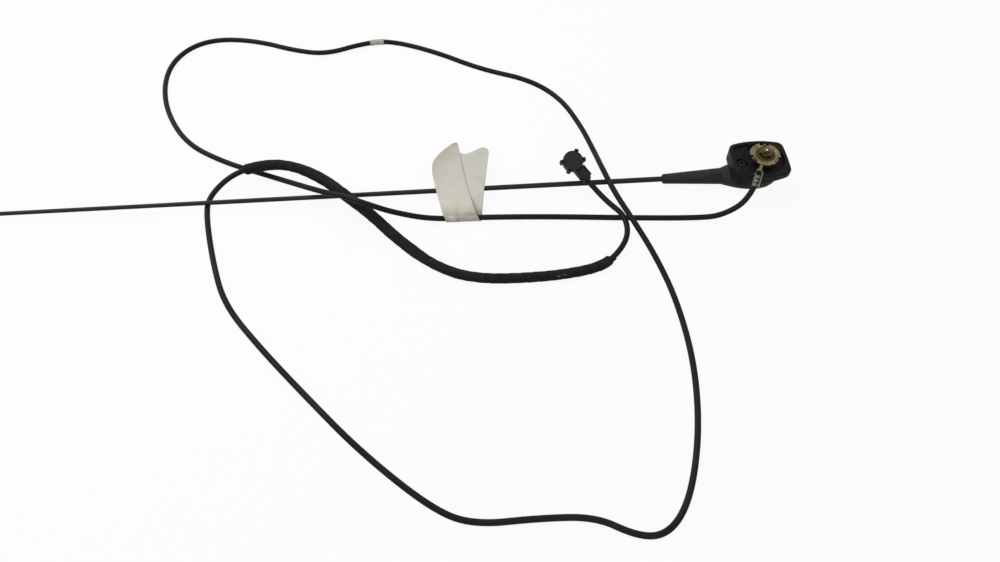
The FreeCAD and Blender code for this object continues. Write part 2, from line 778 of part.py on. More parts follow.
def build():
    edges = route_edges()
    return {
        "mast_rod": mast_rod(),
        "mast_boot": mast_boot(),
        "mast_ferrule": mast_ferrule(),
        "neck_insert": neck_insert(),
        "housing": housing(),
        "base_pad": base_pad(),
        "housing_screw": housing_screw(),
        "spigot": spigot(),
        "insulating_bush": insulating_bush(),
        "centre_stud": centre_stud(),
        "contact_strap": contact_strap(),
        "claw_ring": claw_ring(),
        "insulating_washer": insulating_washer(),
        "stud_nut": stud_nut(),
        "cable_terminal": cable_terminal(),
        "cable_core": cable_core(),
        "coax_cable": swept(Part.Wire(edges), cable_d),
        "cloth_tape_wrap": sleeve_on_cable(edges, wrap_d, wrap_from, wrap_length),
        "marker_band": sleeve_on_cable(edges, marker_d, marker_from, marker_length),
        "paper_tag": paper_tag(edges),
        "plug_body": plug_body(),
        "plug_cap": plug_cap(),
        "plug_sleeve": plug_sleeve(),
        "plug_insulator": plug_insulator(),
        "plug_pin": plug_pin(),
        "plug_clamp": plug_clamp(),
    }


os.makedirs("parts", exist_ok=True)
for name, shape in build().items():
    print(name, "solids", len(shape.Solids), "valid", shape.isValid(), "volume", round(shape.Volume, 1))
    shape.exportStep(f"parts/{name}.step")
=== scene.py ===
"""Dresses a car radio antenna: finishes for its solids, and its lead, tape, band and tag as soft pieces."""
import math

import bmesh
import bpy
from bpy.props import FloatProperty, FloatVectorProperty, IntProperty, PointerProperty
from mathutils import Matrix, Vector, noise


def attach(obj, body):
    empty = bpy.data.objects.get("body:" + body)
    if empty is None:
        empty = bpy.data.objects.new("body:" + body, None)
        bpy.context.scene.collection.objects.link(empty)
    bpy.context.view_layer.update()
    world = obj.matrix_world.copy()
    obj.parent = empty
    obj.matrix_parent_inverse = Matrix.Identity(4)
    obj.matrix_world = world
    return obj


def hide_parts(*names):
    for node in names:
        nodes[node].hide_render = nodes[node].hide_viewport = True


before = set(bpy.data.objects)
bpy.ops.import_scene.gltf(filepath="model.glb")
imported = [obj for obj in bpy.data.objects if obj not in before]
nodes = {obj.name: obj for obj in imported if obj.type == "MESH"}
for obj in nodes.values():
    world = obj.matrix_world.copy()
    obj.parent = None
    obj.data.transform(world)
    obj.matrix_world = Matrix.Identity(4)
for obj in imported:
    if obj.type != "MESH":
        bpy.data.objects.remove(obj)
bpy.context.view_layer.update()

bl_info = {
    "name": "Car radio antenna",
    "version": (1, 0, 0),
    "blender": (4, 5, 0),
    "location": "View3D > Sidebar > Antenna",
    "description": "Dresses a car radio antenna with its lead, tape, tag and finishes",
    "category": "Object",
}

# Where the aerial lead runs, from the crimp at the foot to the plug, in metres
lead_route = [
    (-0.0116, -0.0232, 0.0342), (-0.0175, -0.0365, 0.0185), (-0.043, -0.0462, 0.0075),
    (-0.0679, -0.0432, 0.0027), (-0.1266, -0.0389, 0.0026), (-0.1952, -0.0328, 0.0026),
    (-0.2554, -0.0299, 0.0033), (-0.3002, -0.0297, 0.0036), (-0.333, -0.03, 0.016),
    (-0.352, -0.0298, 0.027), (-0.3732, -0.0196, 0.028), (-0.3968, -0.0064, 0.022),
    (-0.422, 0.0146, 0.01), (-0.4582, 0.0372, 0.0027), (-0.4966, 0.0553, 0.0026),
    (-0.5333, 0.0813, 0.0026), (-0.5583, 0.1246, 0.0026), (-0.5686, 0.1671, 0.0026),
    (-0.5651, 0.2021, 0.0026), (-0.5466, 0.227, 0.0026), (-0.518, 0.2355, 0.0026),
    (-0.4782, 0.2284, 0.0026), (-0.4391, 0.2109, 0.0026), (-0.4064, 0.2031, 0.0028),
    (-0.3704, 0.2163, 0.0032), (-0.3417, 0.2201, 0.0032), (-0.2947, 0.2002, 0.0028),
    (-0.246, 0.1683, 0.0026), (-0.1981, 0.1494, 0.0026), (-0.1689, 0.1194, 0.0026),
    (-0.1535, 0.0777, 0.0032), (-0.1473, 0.0406, 0.009), (-0.1444, 0.0075, 0.019),
    (-0.1369, -0.0243, 0.019), (-0.1242, -0.0512, 0.013), (-0.1098, -0.0833, 0.0046),
    (-0.0998, -0.1278, 0.0026), (-0.0969, -0.1846, 0.0026), (-0.1033, -0.2377, 0.0026),
    (-0.1157, -0.2821, 0.0026), (-0.13, -0.311, 0.0026), (-0.147, -0.3246, 0.0026),
    (-0.166, -0.3224, 0.0026), (-0.1914, -0.3076, 0.0026), (-0.2308, -0.3059, 0.0026),
    (-0.2782, -0.3077, 0.0026), (-0.3078, -0.293, 0.0026), (-0.3575, -0.2477, 0.0026),
    (-0.3987, -0.2015, 0.0026), (-0.4413, -0.1518, 0.0026), (-0.4742, -0.1083, 0.0026),
    (-0.489, -0.0647, 0.0026), (-0.5014, -0.014, 0.0026), (-0.5032, 0.0113, 0.0027),
    (-0.4794, 0.0321, 0.012), (-0.4447, 0.0358, 0.0165), (-0.4209, 0.0284, 0.018),
    (-0.3951, 0.0108, 0.0185), (-0.3743, -0.0106, 0.018), (-0.3545, -0.0259, 0.0115),
    (-0.3322, -0.0502, 0.0055), (-0.3005, -0.0819, 0.0048), (-0.2665, -0.0984, 0.0047),
    (-0.2106, -0.1004, 0.0047), (-0.1609, -0.0949, 0.0047), (-0.1417, -0.0804, 0.0053),
    (-0.1295, -0.062, 0.0073), (-0.1305, -0.042, 0.0102), (-0.1425, -0.0273, 0.0106),
    (-0.1537, -0.0101, 0.0123), (-0.16511, 0.00367, 0.02002),
]

# Winding of the cloth tape: lap in pitches, last angle in radians, loose end in turns, the rest in metres
tape_columns = 7
tape_lap = 1.35
tape_last_angle = 1.2
tape_loose_turn = 0.14
tape_loose_slip = 0.0022
tape_room = 0.0001

# Unevenness of the tape in metres, and how fast it changes by the turn or by the metre
tape_wander, tape_wander_rate = 0.0005, 0.35
tape_fray, tape_fray_rate = 0.00016, 9
tape_lump, tape_lump_rate, tape_fine_rate = 0.00014, 60, 260

# Extra padding under the winding: distance along it in metres, and thickness in millimetres
tape_padding = [
    (0.0, 0.6), (0.02, 0.5), (0.045, 0.2), (0.07, 0.6), (0.19, 0.55), (0.215, 0.05), (0.374, 0.1),
]

# Two painted highlights on top of the winding, pale spots that stand in for gloss, and how far each reaches
# along the axes
tape_highlight_spots = [(-0.1954, -0.1019, 0.009), (-0.1903, -0.1012, 0.009)]
tape_highlight_reach = (0.0027, 0.0008, 0.01)

# Marker band: lap and level place in turns, rise in layers a turn, first angle in radians, the rest in metres
band_columns = 9
band_fineness = 1.5
band_turns = 1.22
band_lap_start = 0.15
band_lap_rise = 1.25
band_level_turn = 0.6
band_first_angle = 2.2
band_slant = 0.0004
band_room = 0.00008
band_uneven, band_uneven_rate = 0.00006, 300

# Paper tag in plan, in millimetres: the sides of its front flap from tip to lead, and the back flap's end
front_left = [
    (-275.1, 57.2), (-278.3, 56.7), (-282.6, 53.1), (-289.0, 47.1), (-294.3, 39.9), (-297.8, 33.4),
    (-298.9, 26.9), (-298.7, 16.9), (-296.7, 2.9), (-294.1, -12.3), (-291.6, -24.6), (-290.2, -29.8),
]
front_right = [
    (-274.2, 56.6), (-273.8, 55.3), (-273.4, 51.6), (-272.6, 43.6), (-271.8, 36.4), (-271.0, 27.9),
    (-270.0, 19.4), (-268.7, 9.1), (-266.9, -1.7), (-264.6, -14.2), (-262.2, -24.4), (-260.5, -30.0),
]
back_end = [
    (-284.0, 42.0), (-279.0, 43.5), (-272.6, 44.2), (-270.5, 42.9), (-266.2, 42.9), (-259.9, 45.8),
    (-253.4, 49.6), (-249.7, 49.9), (-246.7, 47.6), (-245.4, 43.3),
]

# Heights of the two flaps, by their y, as they come off the lead and lie over the mast
front_rise = [(-30, 6.6), (-24, 8.9), (-20, 9.9), (-7, 11.5), (8, 11.7), (30, 10.8), (59, 9.3)]
back_rise = [(-30, 0.6), (-26, 1.8), (-20, 6.0), (-7, 10.9), (8, 11.2), (30, 10.3), (59, 8.9)]

# Faces across the tag, and along its front flap, its fold and its back flap
tag_columns = 28
tag_front_rows, tag_fold_rows, tag_back_rows = 56, 20, 46

# Fold of the tag: its place, width and lean along the lead in metres, its radius and bulge in millimetres
tag_fold_start, tag_fold_width, tag_fold_lean = 0.2965, 0.0301, 0.0035
tag_fold_radius, tag_fold_bulge, tag_fold_bulge_loss = 3.0, 0.35, 0.2

# Where the front flap is free, creased and handled, and how uneven the paper is, in millimetres
tag_free_from, tag_free_run = 12, 46
tag_wave, tag_free_wave, tag_back_wave = 0.1, 0.2, 0.2
tag_crease_x, tag_crease_y, tag_crease_slope = -275, -20.5, 0.16
tag_crease_width, tag_crease_height = 1.1, 0.45
tag_handled_from, tag_handled_run = -9, 12
tag_crumple, tag_handled_crumple = 0.08, 0.5


# Settings


def shade(red, green, blue):
    """Scene colour for a screen colour given from 0 to 255."""
    levels = [value / 255 for value in (red, green, blue)]
    return tuple(v / 12.92 if v <= 0.04045 else ((v + 0.055) / 1.055) ** 2.4 for v in levels)


def length_value(name, description, default):
    """Setting for a length in metres."""
    return FloatProperty(name=name, description=description, default=default, unit="LENGTH", precision=5)


def colour_value(name, description, default):
    """Setting for a colour."""
    return FloatVectorProperty(
        name=name, description=description, default=default, subtype="COLOR", min=0, max=1)


def place_value(name, description, default):
    """Setting for a place in the part's frame."""
    return FloatVectorProperty(
        name=name, description=description, default=default, subtype="XYZ", precision=4)


class AntennaSizes(bpy.types.PropertyGroup):
    """Sizes of the soft pieces"""
    lead_diameter: length_value("Lead diameter", "Outside of the lead's jacket", 0.005)
    lead_length: length_value("Lead length", "From the crimp to the plug", 2.68)
    tape_start: length_value("Tape start", "Where the winding starts, along the lead", 2.1935)
    tape_run: length_value("Tape run", "Length of lead under the winding", 0.374)
    tape_radius: length_value("Tape radius", "Inside of the winding, round its padding", 0.00405)
    tape_pitch: length_value("Tape pitch", "How far one turn of tape moves on", 0.0105)
    tape_end: length_value("Tape end", "Length over which the winding closes on the lead", 0.0022)
    tape_thickness: length_value("Tape thickness", "Cloth with its adhesive", 0.00022)
    band_start: length_value("Band start", "Where the marker band starts, along the lead", 0.9278)
    band_run: length_value("Band width", "Width of the marker band", 0.015)
    band_thickness: length_value("Band thickness", "One layer of marker tape", 0.0002)
    tag_thickness: length_value("Tag thickness", "Paper of the tag", 0.00022)
    tag_curl: length_value("Tag curl", "How far the tag's free corner lifts", 0.0012)


class AntennaColours(bpy.types.PropertyGroup):
    """Main colour of each visible finish"""
    jacket: colour_value("Jacket", "Plastic jacket of the lead", shade(23, 23, 24))
    tape: colour_value("Cloth tape", "Wound cloth tape", shade(30, 24, 22))
    band: colour_value("Marker band", "Pale tape band", shade(178, 177, 166))
    paper: colour_value("Paper", "Aged paper of the tag", shade(207, 203, 196))
    mast: colour_value("Mast", "Coating of the whip", shade(38, 38, 40))
    boot: colour_value("Boot", "Rubber at the mast's root", shade(41, 40, 38))
    housing: colour_value("Housing", "Moulded plastic of the dome and neck", shade(49, 44, 39))
    pad: colour_value("Pad", "Rubber of the wedge pad", shade(12, 11, 12))
    ring: colour_value("Ring", "Yellow plating of the claw ring", shade(132, 120, 88))
    washer: colour_value("Washer", "Fibre disc in the ring", shade(74, 62, 34))
    terminal: colour_value("Terminal", "Tinned sheet of the cable terminal", shade(104, 104, 90))
    plug: colour_value("Plug", "Dark moulding of the plug", shade(38, 37, 36))
    dust: colour_value("Dust", "Dry dust on upward faces", shade(132, 126, 116))
    floor: colour_value("Floor", "Pale floor", (0.72, 0.72, 0.72))


class AntennaStage(bpy.types.PropertyGroup):
    """Camera, light and floor"""
    eye: place_value("Camera place", "Where the photograph was taken from", (-0.27236, -0.50534, 0.574))
    tilt: FloatProperty(
        name="Camera tilt", default=math.radians(35.4), subtype="ANGLE", description="From straight down")
    turn: FloatProperty(
        name="Camera turn", default=math.radians(-3.9), subtype="ANGLE", description="About the vertical")
    lens: FloatProperty(
        name="Lens", default=29.88, description="Focal length for a 36 mm sensor, in mm", unit="CAMERA")
    sky: FloatProperty(
        name="Sky strength", default=0.38, description="Even light from all round", subtype="FACTOR",
        min=0, max=1)
    key: FloatProperty(name="Key power", default=16.0, description="Large soft lamp above", unit="POWER")
    key_place: place_value("Key place", "Where the large soft lamp hangs", (-0.95, 0.55, 1.15))
    key_size: length_value("Key size", "Across the large soft lamp", 1.4)
    fill: FloatProperty(name="Fill power", default=4.0, description="Soft lamp from the front", unit="POWER")
    fill_place: place_value("Fill place", "Where the front lamp hangs", (-0.1, -1.4, 0.9))
    fill_size: length_value("Fill size", "Across the front lamp", 1.2)
    aim: place_value("Lamp aim", "Where both lamps point", (-0.3, 0, 0))
    floor_half: length_value("Floor half", "From the floor's middle to its side", 6.0)
    floor_drop: length_value("Floor drop", "How far the floor lies under the part", 0.0002)
    floor_glow: FloatProperty(
        name="Floor glow", default=0.93, description="Share of the floor that is seen as plain white",
        subtype="FACTOR", min=0, max=1)
    sides: IntProperty(
        name="Round sides", default=32, description="Faces round a wound or rolled piece", min=12)


# Shader helpers


def put(tree, node, values):
    """Sets a node's inputs, by name or place: a socket is linked, anything else is its value."""
    for key, value in values.items():
        socket = node.inputs[key]
        if isinstance(value, bpy.types.NodeSocket):
            tree.links.new(value, socket)
        else:
            socket.default_value = value
    return node


def add(tree, kind, values=None, **settings):
    """New node of a kind, with settings and inputs."""
    node = tree.nodes.new("ShaderNode" + kind)
    for key, value in settings.items():
        setattr(node, key, value)
    return put(tree, node, values or {})


def between(tree, value, low, high):
    """Value stretched so that low becomes 0 and high becomes 1."""
    node = add(tree, "MapRange", {"Value": value, "From Min": low, "From Max": high})
    return node.outputs["Result"]


def maths(tree, operation, *values):
    """Result of a maths node."""
    return add(tree, "Math", dict(enumerate(values)), operation=operation).outputs[0]


def times(tree, a, b):
    """One value times another."""
    return maths(tree, "MULTIPLY", a, b)


def vectors(tree, operation, *values):
    """Outputs of a node that works on vectors."""
    return add(tree, "VectorMath", dict(enumerate(values)), operation=operation).outputs


def mixed(tree, share, a, b):
    """Colour a turning into colour b by a share."""
    node = add(tree, "Mix", {0: share, 6: a, 7: b}, data_type="RGBA")
    return node.outputs[2]


def place_on(tree):
    """Place on the surface, in the part's frame."""
    return add(tree, "TexCoord").outputs["Object"]


def distance_along(tree, direction):
    """How far a place on the surface lies along a direction."""
    return vectors(tree, "DOT_PRODUCT", place_on(tree), direction)["Value"]


def speckle(tree, scale, detail=5.0, vector=None):
    """Cloudy value over the surface."""
    node = add(tree, "TexNoise", {
        "Vector": vector or place_on(tree), "Scale": scale, "Detail": detail, "Roughness": 0.6})
    return node.outputs[0]


def spot(tree, middle, reach):
    """Soft mask round a place, with its reach along each axis."""
    off = vectors(tree, "SUBTRACT", place_on(tree), middle)[0]
    off = vectors(tree, "DIVIDE", off, reach)[0]
    return between(tree, vectors(tree, "LENGTH", off)["Value"], 1.0, 0.4)


# Shared effects


def start_group(name, inputs, outputs):
    """Empty shader node group with named sockets, and its inside ends."""
    group = bpy.data.node_groups.new(name, "ShaderNodeTree")
    kinds = {"F": "NodeSocketFloat", "C": "NodeSocketColor", "V": "NodeSocketVector"}
    for title, kind in inputs:
        group.interface.new_socket(title, in_out="INPUT", socket_type=kinds[kind])
    for title, kind in outputs:
        group.interface.new_socket(title, in_out="OUTPUT", socket_type=kinds[kind])
    return group, group.nodes.new("NodeGroupInput").outputs, group.nodes.new("NodeGroupOutput")


def mottle_group():
    """Two shades of one material in soft clouds."""
    group, given, result = start_group(
        "Mottle", [("Main", "C"), ("Second", "C"), ("Scale", "F"), ("Amount", "F")], [("Color", "C")])
    clouds = between(group, speckle(group, given["Scale"]), 0.34, 0.66)
    share = times(group, clouds, given["Amount"])
    put(group, result, {"Color": mixed(group, share, given["Main"], given["Second"])})
    return group


def dust_group():
    """Dry dust on faces that look up, in patches."""
    group, given, result = start_group(
        "Settled dust", [("Color", "C"), ("Dust", "C"), ("Scale", "F"), ("Amount", "F")],
        [("Color", "C"), ("Mask", "F")])
    normal = add(group, "NewGeometry").outputs["Normal"]
    upward = between(group, add(group, "SeparateXYZ", {0: normal}).outputs["Z"], 0.1, 1.0)
    patches = between(group, speckle(group, given["Scale"], 8.0), 0.42, 0.72)
    mask = times(group, times(group, upward, patches), given["Amount"])
    put(group, result, {"Color": mixed(group, mask, given["Color"], given["Dust"]), "Mask": mask})
    return group


def grain_group():
    """Fine moulded grain as a height."""
    group, given, result = start_group("Fine grain", [("Scale", "F")], [("Height", "F")])
    cells = add(group, "TexVoronoi", {"Vector": place_on(group), "Scale": given["Scale"]})
    cloud = speckle(group, given["Scale"], 3.0)
    put(group, result, {"Height": times(group, cells.outputs["Distance"], cloud)})
    return group


def lines_group():
    """Thin lines along one direction: drawing marks, scuffs and scratches."""
    group, given, result = start_group(
        "Drawn lines", [("Stretch", "V"), ("Scale", "F"), ("Thin", "F")], [("Mask", "F")])
    pulled = vectors(group, "MULTIPLY", place_on(group), given["Stretch"])[0]
    cloud = speckle(group, given["Scale"], 4.0, pulled)
    put(group, result, {"Mask": between(group, cloud, given["Thin"], 0.78)})
    return group


def edges_group():
    """Edges rubbed pale by handling."""
    group, given, result = start_group("Rubbed edges", [("Low", "F"), ("High", "F")], [("Mask", "F")])
    sharp = add(group, "NewGeometry").outputs["Pointiness"]
    rubbed = between(group, sharp, given["Low"], given["High"])
    patchy = between(group, speckle(group, 260.0), 0.3, 0.6)
    put(group, result, {"Mask": times(group, rubbed, patchy)})
    return group


def weave_group():
    """Plain weave over the unrolled tape, as a height and a thread mask."""
    group, given, result = start_group(
        "Tape weave", [("Threads along", "F"), ("Threads across", "F")], [("Height", "F"), ("Mask", "F")])
    flat = add(group, "SeparateXYZ", {0: add(group, "TexCoord").outputs["UV"]}).outputs
    along = maths(group, "SINE", times(group, flat["X"], given["Threads along"]))
    across = maths(group, "SINE", times(group, flat["Y"], given["Threads across"]))
    crossing = times(group, along, across)
    fuzz = times(group, speckle(group, 2400.0, 2.0), 0.6)
    height = maths(group, "ADD", between(group, crossing, -1.0, 1.0), fuzz)
    put(group, result, {"Height": height, "Mask": between(group, crossing, 0.1, 0.9)})
    return group


effect_makers = {
    "Mottle": mottle_group, "Settled dust": dust_group, "Fine grain": grain_group,
    "Drawn lines": lines_group, "Rubbed edges": edges_group, "Tape weave": weave_group,
}


def effect(tree, name, values):
    """Places a shared effect in a material with its own values, and gives its outputs."""
    node = tree.nodes.new("ShaderNodeGroup")
    node.node_tree = bpy.data.node_groups.get(name) or effect_makers[name]()
    return put(tree, node, values).outputs


# Finishes


def solid(colour):
    """Colour with no see-through."""
    return (*colour, 1.0)


def toned(colour, share):
    """Colour made darker by a share below 1, or lighter by one above it."""
    return tuple(value * share for value in colour)


def new_finish(name):
    """Empty material, its node tree and its surface shader."""
    material = bpy.data.materials.new(name)
    material.use_nodes = True
    tree = material.node_tree
    return material, tree, tree.nodes["Principled BSDF"]


def bumped(tree, height, distance, strength=1.0):
    """Surface direction with a height pressed into it."""
    node = add(tree, "Bump", {"Height": height, "Distance": distance, "Strength": strength})
    return node.outputs["Normal"]


def moulded(name, colour, cloud, roughness, grain, depth, dust, edge=None, gloss=0.12):
    """Plastic or rubber from a mould: clouded colour, grain, dust and, where it rubs, paler edges."""
    material, tree, surface = new_finish(name)
    dust_colour = bpy.context.scene.antenna_colours.dust
    base = effect(tree, "Mottle", {
        "Main": solid(colour), "Second": solid(toned(colour, 0.7)), "Scale": cloud, "Amount": 0.6})["Color"]
    if edge:
        rubbed = effect(tree, "Rubbed edges", {"Low": 0.52, "High": 0.6})["Mask"]
        base = mixed(tree, rubbed, base, solid(edge))
    dusty = effect(tree, "Settled dust", {
        "Color": base, "Dust": solid(dust_colour), "Scale": cloud * 3, "Amount": dust})
    height = effect(tree, "Fine grain", {"Scale": grain})["Height"]
    rough = between(tree, speckle(tree, cloud * 2), -roughness, 2 - roughness)
    put(tree, surface, {
        "Base Color": dusty["Color"],
        "Roughness": maths(tree, "ADD", rough, times(tree, dusty["Mask"], 0.3)),
        "Specular IOR Level": gloss, "Normal": bumped(tree, height, depth)})
    return material


def plated(name, colour, stain, cloud, roughness, stretch, dull=0.6, rub=1.0):
    """Plated or tinned metal: stains, drawn lines and brighter rubbed edges."""
    material, tree, surface = new_finish(name)
    base = effect(tree, "Mottle", {
        "Main": solid(colour), "Second": solid(stain), "Scale": cloud, "Amount": dull})["Color"]
    rubbed = effect(tree, "Rubbed edges", {"Low": 0.52, "High": 0.58})["Mask"]
    bright = tuple(min(1.0, value * 1.35 + 0.06) for value in colour)
    marks = effect(tree, "Drawn lines", {"Stretch": stretch, "Scale": cloud * 2, "Thin": 0.52})["Mask"]
    rough = between(tree, speckle(tree, cloud * 1.5), 0.5 - roughness * 1.6, 2.2 - roughness)
    put(tree, surface, {
        "Base Color": mixed(tree, times(tree, rubbed, rub), base, solid(bright)), "Metallic": 1.0,
        "Roughness": maths(tree, "ADD", rough, times(tree, marks, 0.15)),
        "Normal": bumped(tree, marks, 0.00004, 0.6)})
    return material


def marked(material, mask, colour):
    """Puts a colour over a finish where a mask says."""
    tree = material.node_tree
    surface = tree.nodes["Principled BSDF"]
    under = surface.inputs["Base Color"].links[0].from_socket
    put(tree, surface, {"Base Color": mixed(tree, mask, under, solid(colour))})


def dress(names, material):
    """Gives CAD nodes a finish."""
    for name in names:
        node = nodes[name]
        if not node.material_slots:
            node.data.materials.append(material)
        for slot in node.material_slots:
            slot.material = material


# Lead helpers


def lead_curve(name, thickness):
    """The lead's line as one smooth open spline."""
    curve = bpy.data.curves.new(name, "CURVE")
    curve.dimensions = "3D"
    curve.resolution_u = 12
    curve.bevel_depth = thickness / 2
    curve.bevel_resolution = 6
    curve.use_fill_caps = True
    spline = curve.splines.new("NURBS")
    spline.points.add(len(lead_route) - 1)
    for point, place in zip(spline.points, lead_route):
        point.co = (*place, 1.0)
    spline.order_u = 3
    spline.use_endpoint_u = True
    piece = bpy.data.objects.new(name, curve)
    bpy.context.scene.collection.objects.link(piece)
    return piece


class LeadLine:
    """The lead's centre line: points read off its spline, measured along it, with untwisted sides."""

    def __init__(self):
        piece = lead_curve("lead_line", 0)
        mesh = bpy.data.meshes.new_from_object(piece)
        self.points = [vertex.co.copy() for vertex in mesh.vertices]
        bpy.data.meshes.remove(mesh)
        bpy.data.curves.remove(piece.data)
        self.marks = [0.0]
        self.sides = []
        side = Vector((0, 0, 1))
        for a, b in zip(self.points, self.points[1:]):
            along = (b - a).normalized()
            side = (side - along * side.dot(along)).normalized()
            self.sides.append(side)
            self.marks.append(self.marks[-1] + (b - a).length)
        self.sides.append(side)

    def at(self, distance):
        """Place, direction and two cross directions at a distance along the lead."""
        n = 0
        while n < len(self.points) - 2 and self.marks[n + 1] < distance:
            n += 1
        share = (distance - self.marks[n]) / (self.marks[n + 1] - self.marks[n])
        here = self.points[n].lerp(self.points[n + 1], share)
        before, after = self.points[max(n - 1, 0)], self.points[min(n + 2, len(self.points) - 1)]
        straight = (self.points[n + 1] - self.points[n]).normalized()
        start = (self.points[n + 1] - before).normalized()
        end = (after - self.points[n]).normalized()
        way = start.lerp(end, share).normalized() if n else straight
        side = self.sides[n].lerp(self.sides[n + 1], share)
        side = (side - way * side.dot(way)).normalized()
        return here, way, side, way.cross(side)

    def out(self, distance, angle, radius):
        """Point off the centre line at an angle round it."""
        here, way, side, other = self.at(distance)
        return here + (side * math.cos(angle) + other * math.sin(angle)) * radius


# Shape helpers


def ripple(place, seed):
    """Smooth unevenness from -1 to 1."""
    return noise.noise(Vector(place) + Vector((seed, seed * 1.7, 0)))


def through(points, share):
    """Point at a share of a smooth line through points."""
    spans = len(points) - 1
    n = min(int(share * spans), spans - 1)
    t = share * spans - n
    a, b, c, d = (Vector(points[min(max(k, 0), spans)]) for k in range(n - 1, n + 3))
    return b + (c - a + (2 * a - 5 * b + 4 * c - d + (3 * (b - c) + d - a) * t) * t) * (t / 2)


def height_at(table, y):
    """Height read smoothly off a table of (y, height) pairs."""
    last = len(table) - 1
    n = 0
    while n < last - 1 and y > table[n + 1][0]:
        n += 1
    slopes = []
    for k in (n, n + 1):
        (y0, z0), (y1, z1) = table[max(k - 1, 0)], table[min(k + 1, last)]
        slopes.append((z1 - z0) / (y1 - y0))
    (y0, z0), (y1, z1) = table[n], table[n + 1]
    t = min(max((y - y0) / (y1 - y0), 0.0), 1.0)
    bend = (y1 - y0) * t * (1 - t) * (slopes[0] * (1 - t) - slopes[1] * t)
    return z0 + (z1 - z0) * t * t * (3 - 2 * t) + bend


def section(columns):
    """Layer and share across of each point round a strip: along its outside, then back along its inside."""
    shares = [k / (columns - 1) for k in range(columns)]
    return [(1, share) for share in shares] + [(0, 1 - share) for share in shares]


def closed_strip(rows):
    """Points and faces of a strip with closed ends, from rows of points round its section."""
    count = len(rows[0])
    points = [point for row in rows for point in row]
    faces = []
    for n in range(len(rows) - 1):
        for k in range(count):
            a, b = n * count + k, n * count + (k + 1) % count
            faces.append((a, b, b + count, a + count))
    last = (len(rows) - 1) * count
    faces.append(tuple(range(count - 1, -1, -1)))
    faces.append(tuple(range(last, last + count)))
    return points, faces


def open_sheet(rows):
    """Points and faces of a sheet, from rows of points across it."""
    count = len(rows[0])
    points = [point for row in rows for point in row]
    faces = []
    for n in range(len(rows) - 1):
        for k in range(count - 1):
            a = n * count + k
            faces.append((a, a + 1, a + 1 + count, a + count))
    return points, faces


def new_piece(name, points, faces, flats=None):
    """Mesh object from points and faces, with a flat map where one is given for each point."""
    mesh = bpy.data.meshes.new(name)
    mesh.from_pydata(points, [], faces)
    if flats:
        layer = mesh.uv_layers.new(name="Unrolled")
        for loop in mesh.loops:
            layer.data[loop.index].uv = flats[loop.vertex_index]
    mesh.update()
    clean = bmesh.new()
    clean.from_mesh(mesh)
    bmesh.ops.recalc_face_normals(clean, faces=clean.faces)
    for face in clean.faces:
        face.smooth = True
    clean.to_mesh(mesh)
    clean.free()
    piece = bpy.data.objects.new(name, mesh)
    bpy.context.scene.collection.objects.link(piece)
    return piece


def settle(piece, slot, *replaced):
    """Rides on the part and stands for its CAD solids; the slot it is given is not used."""
    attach(piece, "root")
    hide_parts(*replaced)


# Operators


class ANTENNA_OT_lead(bpy.types.Operator):
    """Lays the aerial lead along its route"""
    bl_idname = "antenna.lead"
    bl_label = "Lay the lead"

    def execute(self, context):
        sizes = context.scene.antenna_sizes
        colours = context.scene.antenna_colours
        lead = lead_curve("aerial_lead", sizes.lead_diameter)
        lead.data.materials.append(moulded(
            "Lead jacket", colours.jacket, cloud=12.0, roughness=0.5, grain=700.0, depth=0.000008,
            dust=0.04, gloss=0.09))
        settle(lead, "cable_jacket", "coax_cable")
        return {"FINISHED"}


